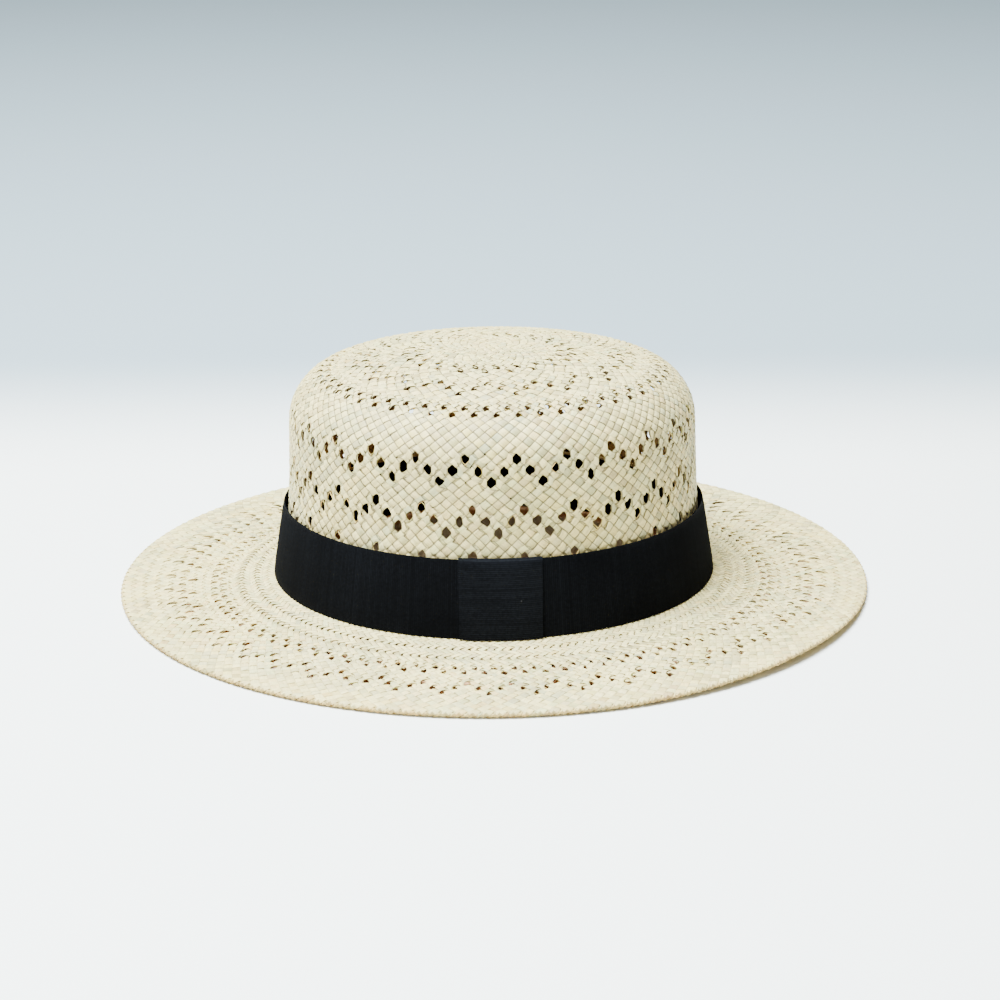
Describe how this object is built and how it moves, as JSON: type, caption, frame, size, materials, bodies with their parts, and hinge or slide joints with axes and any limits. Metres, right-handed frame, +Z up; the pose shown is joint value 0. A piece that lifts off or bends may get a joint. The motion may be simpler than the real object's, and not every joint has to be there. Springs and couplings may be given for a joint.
{
  "type": "straw boater hat",
  "caption": "Woven straw boater hat with an oval domed crown, a flat hemmed brim, zigzag eyelets, a ribbed ribbon band with a folded tab, and a sweatband.",
  "frame": {"origin": "on the surface that the hat rests on, below the middle of the brim", "axes": "+Z up through the crown, +X along the long axis of the oval, the ribbon tab faces -Y"},
  "size_m": [0.3362, 0.3116, 0.108],
  "materials": {
    "straw": "plain-woven flat straw strips, pale cream, satin",
    "ribbon": "black ribbed ribbon, soft sheen",
    "sweatband": "black tape, matt"
  },
  "bodies": {
    "root": {"crown": "straw", "brim": "straw", "ribbon_band": "ribbon", "ribbon_tab": "ribbon", "sweatband": "sweatband"}
  },
  "joints": []
}
